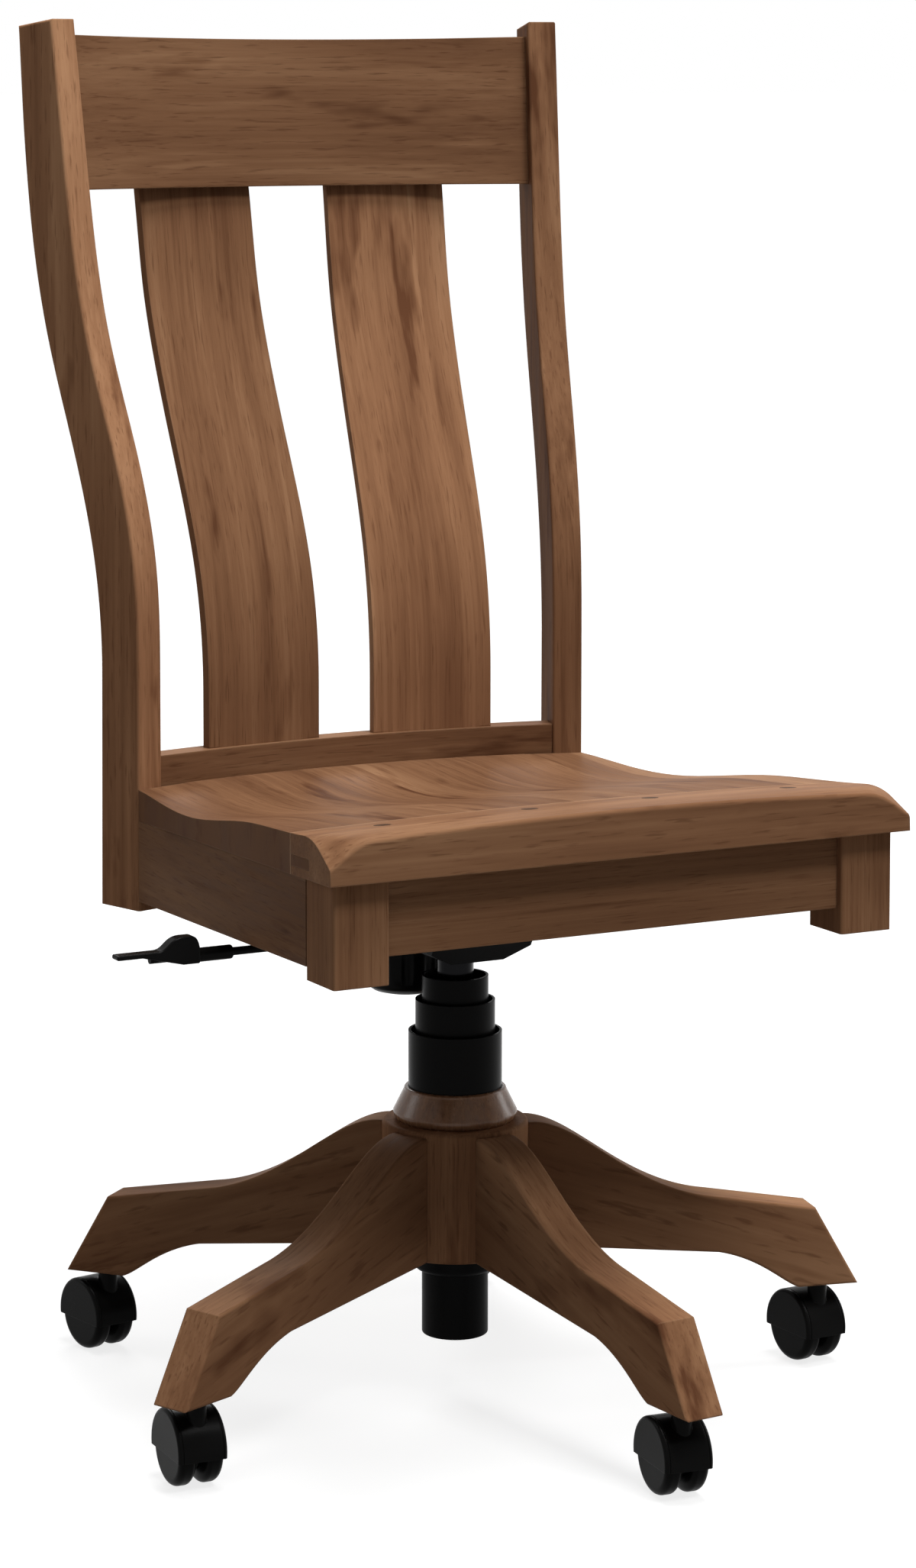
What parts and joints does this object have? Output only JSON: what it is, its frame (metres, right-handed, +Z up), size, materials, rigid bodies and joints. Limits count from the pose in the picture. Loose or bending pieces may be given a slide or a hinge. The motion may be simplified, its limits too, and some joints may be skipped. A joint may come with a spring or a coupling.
{
  "type": "desk chair",
  "caption": "Armless wooden swivel desk chair with a sculpted solid seat, bent back posts and slats, height lever, tension knob and hooded casters.",
  "frame": {"origin": "on the floor under the axis of the column", "axes": "+Z up, the sitter faces -Y, +X to the sitter's left, the height lever is on the -X side"},
  "size_m": [0.6114, 0.63, 1.0345],
  "materials": {
    "stained_wood": "brown stained maple, satin lacquer",
    "peg_wood": "end grain, satin lacquer",
    "black_plastic": "satin black",
    "wheel_plastic": "satin black",
    "black_paint": "black powder coat",
    "steel": "turned steel",
    "bright_steel": "ground and plated",
    "bush_plastic": "plain moulding"
  },
  "bodies": {
    "base": {"hub": "stained_wood", "collar": "stained_wood", "leg_1": "stained_wood", "leg_2": "stained_wood", "leg_3": "stained_wood", "leg_4": "stained_wood", "leg_5": "stained_wood", "column_sleeve": "black_paint", "column_tube": "black_paint", "guide_bush": "bush_plastic", "cover_lower": "black_plastic", "caster_sockets": "steel", "caster_stems": "steel", "thrust_bearing": "steel"},
    "rod": {"piston_rod": "steel", "rod_clip": "steel"},
    "lift": {"gas_cylinder": "bright_steel", "cover_upper": "black_plastic", "tilt_housing": "black_paint", "tilt_pin": "steel", "tension_spring": "steel"},
    "middle_cover": {"cover_middle": "black_plastic"},
    "seat": {"seat_panel": "stained_wood", "seat_front_strip": "stained_wood", "side_rail_left": "stained_wood", "side_rail_right": "stained_wood", "front_rail": "stained_wood", "back_apron": "stained_wood", "front_post_left": "stained_wood", "front_post_right": "stained_wood", "back_post_left": "stained_wood", "back_post_right": "stained_wood", "crest_rail": "stained_wood", "lower_back_rail": "stained_wood", "back_slat_left": "stained_wood", "back_slat_right": "stained_wood", "seat_bearers": "stained_wood", "seat_pegs": "peg_wood", "seat_plate": "black_paint"},
    "lever": {"height_lever": "black_paint", "lever_paddle": "black_plastic"},
    "button": {"release_button": "bush_plastic"},
    "knob": {"tension_knob": "black_plastic", "tension_bolt": "steel"},
    "cup": {"spring_cup": "steel"},
    "caster_1": {"caster_1_hood": "black_plastic"},
    "wheel_1_left": {"caster_1_wheel_left": "wheel_plastic"},
    "wheel_1_right": {"caster_1_wheel_right": "wheel_plastic"},
    "caster_2": {"caster_2_hood": "black_plastic"},
    "wheel_2_left": {"caster_2_wheel_left": "wheel_plastic"},
    "wheel_2_right": {"caster_2_wheel_right": "wheel_plastic"},
    "caster_3": {"caster_3_hood": "black_plastic"},
    "wheel_3_left": {"caster_3_wheel_left": "wheel_plastic"},
    "wheel_3_right": {"caster_3_wheel_right": "wheel_plastic"},
    "caster_4": {"caster_4_hood": "black_plastic"},
    "wheel_4_left": {"caster_4_wheel_left": "wheel_plastic"},
    "wheel_4_right": {"caster_4_wheel_right": "wheel_plastic"},
    "caster_5": {"caster_5_hood": "black_plastic"},
    "wheel_5_left": {"caster_5_wheel_left": "wheel_plastic"},
    "wheel_5_right": {"caster_5_wheel_right": "wheel_plastic"}
  },
  "joints": [
    {"name": "seat_swivel", "type": "hinge", "parent": "base", "child": "rod", "pos_m": [0, 0, 0.05], "axis": [0, 0, 1], "continuous": true},
    {"name": "seat_height", "type": "slide", "parent": "rod", "child": "lift", "axis": [0, 0, 1], "range_m": [-0.035, 0.065]},
    {"name": "middle_cover_slide", "type": "slide", "parent": "base", "child": "middle_cover", "axis": [0, 0, 1], "range_m": [-0.021, 0.039]},
    {"name": "seat_tilt", "type": "hinge", "parent": "lift", "child": "seat", "pos_m": [0, -0.037, 0.388], "axis": [-1, 0, 0], "range_deg": [0, 10], "stiffness_Nm_per_rad": 120, "springref_deg": -12.03, "deforming": ["tension_spring"]},
    {"name": "height_lever_lift", "type": "hinge", "parent": "lift", "child": "lever", "pos_m": [-0.033, -0.025, 0.372], "axis": [0, 1, 0], "range_deg": [0, 2.4], "stiffness_Nm_per_rad": 2, "springref_deg": -9.74},
    {"name": "release_press", "type": "slide", "parent": "lift", "child": "button", "axis": [0, 0, -1], "range_m": [0, 0.0014]},
    {"name": "tension_turn", "type": "hinge", "parent": "lift", "child": "knob", "pos_m": [0, 0.08, 0.34], "axis": [0, 0, 1], "range_deg": [0, 720]},
    {"name": "cup_rise", "type": "slide", "parent": "lift", "child": "cup", "axis": [0, 0, 1], "range_m": [0, 0.003]},
    {"name": "caster_1_swivel", "type": "hinge", "parent": "base", "child": "caster_1", "pos_m": [0.1498, 0.24832, 0.05], "axis": [0, 0, 1], "continuous": true},
    {"name": "caster_1_roll_left", "type": "hinge", "parent": "caster_1", "child": "wheel_1_left", "pos_m": [0.1498, 0.26232, 0.027], "axis": [1, 0, 0], "continuous": true},
    {"name": "caster_1_roll_right", "type": "hinge", "parent": "caster_1", "child": "wheel_1_right", "pos_m": [0.1498, 0.26232, 0.027], "axis": [1, 0, 0], "continuous": true},
    {"name": "caster_2_swivel", "type": "hinge", "parent": "base", "child": "caster_2", "pos_m": [-0.18987, 0.2192, 0.05], "axis": [0, 0, 1], "continuous": true},
    {"name": "caster_2_roll_left", "type": "hinge", "parent": "caster_2", "child": "wheel_2_left", "pos_m": [-0.19207, 0.23303, 0.027], "axis": [0.9877, 0.1564, 0], "continuous": true},
    {"name": "caster_2_roll_right", "type": "hinge", "parent": "caster_2", "child": "wheel_2_right", "pos_m": [-0.19207, 0.23303, 0.027], "axis": [0.9877, 0.1564, 0], "continuous": true},
    {"name": "caster_3_swivel", "type": "hinge", "parent": "base", "child": "caster_3", "pos_m": [-0.26714, -0.11285, 0.05], "axis": [0, 0, 1], "continuous": true},
    {"name": "caster_3_roll_left", "type": "hinge", "parent": "caster_3", "child": "wheel_3_left", "pos_m": [-0.26641, -0.09886, 0.027], "axis": [0.9986, -0.0523, 0], "continuous": true},
    {"name": "caster_3_roll_right", "type": "hinge", "parent": "caster_3", "child": "wheel_3_right", "pos_m": [-0.26641, -0.09886, 0.027], "axis": [0.9986, -0.0523, 0], "continuous": true},
    {"name": "caster_4_swivel", "type": "hinge", "parent": "base", "child": "caster_4", "pos_m": [0.02477, -0.28894, 0.05], "axis": [0, 0, 1], "continuous": true},
    {"name": "caster_4_roll_left", "type": "hinge", "parent": "caster_4", "child": "wheel_4_left", "pos_m": [0.02623, -0.27502, 0.027], "axis": [0.9945, -0.1045, 0], "continuous": true},
    {"name": "caster_4_roll_right", "type": "hinge", "parent": "caster_4", "child": "wheel_4_right", "pos_m": [0.02623, -0.27502, 0.027], "axis": [0.9945, -0.1045, 0], "continuous": true},
    {"name": "caster_5_swivel", "type": "hinge", "parent": "base", "child": "caster_5", "pos_m": [0.28245, -0.06573, 0.05], "axis": [0, 0, 1], "continuous": true},
    {"name": "caster_5_roll_left", "type": "hinge", "parent": "caster_5", "child": "wheel_5_left", "pos_m": [0.28172, -0.05175, 0.027], "axis": [0.9986, 0.0523, 0], "continuous": true},
    {"name": "caster_5_roll_right", "type": "hinge", "parent": "caster_5", "child": "wheel_5_right", "pos_m": [0.28172, -0.05175, 0.027], "axis": [0.9986, 0.0523, 0], "continuous": true}
  ],
  "couplings": [
    {"joint": "middle_cover_slide", "follows": "seat_height", "ratio": 0.6},
    {"joint": "release_press", "follows": "height_lever_lift", "m_per_rad": 0.033},
    {"joint": "cup_rise", "follows": "tension_turn", "m_per_rad": 0.00023873}
  ]
}
